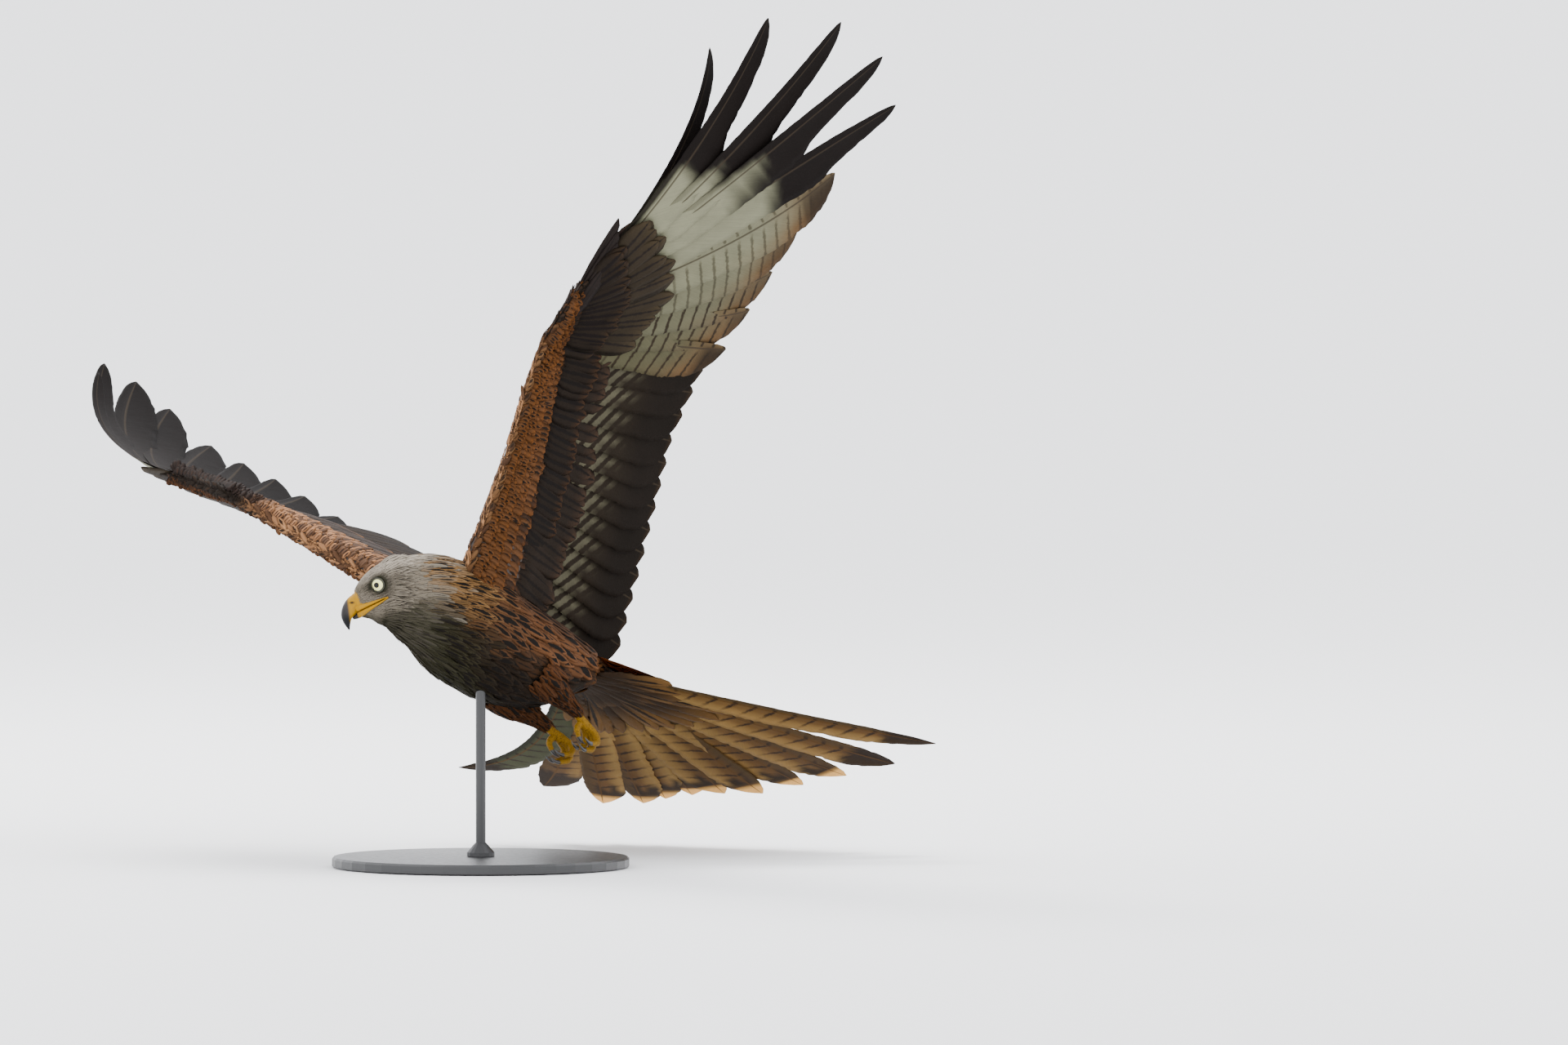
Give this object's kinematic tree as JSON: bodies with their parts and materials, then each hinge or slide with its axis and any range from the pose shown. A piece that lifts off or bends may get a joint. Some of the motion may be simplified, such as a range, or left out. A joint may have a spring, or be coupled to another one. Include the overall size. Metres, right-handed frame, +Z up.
{
  "type": "red kite",
  "caption": "life-size still model of a red kite in a banked glide, wings raised and forked tail fanned, held over a round flat base by one rod",
  "frame": {"origin": "centre of the flat underside of the stand's base", "axes": "+Z up, -Y the way the bird heads, +X its left in plan"},
  "size_m": [1.0149, 0.6351, 0.8607],
  "materials": {
    "plumage": "soft body feathers, rufous with dark shaft streaks, pale grey on the head",
    "flight_feather": "close-webbed flight and tail feathers, dark with pale grey and rufous panels and narrow bars",
    "bill_horn": "dark slate horn with a low gloss, waxy yellow at the base",
    "eye": "wet gloss, pale cream iris around a black pupil",
    "scaly_skin": "yellow scaly skin, matt",
    "claw_horn": "black horn, low gloss",
    "stand_metal": "black satin paint on steel"
  },
  "bodies": {
    "root": {"torso": "plumage", "neck": "plumage", "head": "plumage", "thigh_left": "plumage", "thigh_right": "plumage", "wing_left_arm": "flight_feather", "wing_left_hand": "flight_feather", "wing_right_arm": "flight_feather", "wing_right_hand": "flight_feather", "tail": "flight_feather", "bill_upper": "bill_horn", "bill_lower": "bill_horn", "eye_left": "eye", "eye_right": "eye", "foot_left": "scaly_skin", "foot_right": "scaly_skin", "claw_left_1": "claw_horn", "claw_left_2": "claw_horn", "claw_left_3": "claw_horn", "claw_left_4": "claw_horn", "claw_right_1": "claw_horn", "claw_right_2": "claw_horn", "claw_right_3": "claw_horn", "claw_right_4": "claw_horn", "stand_base": "stand_metal", "stand_rod": "stand_metal"}
  },
  "joints": []
}
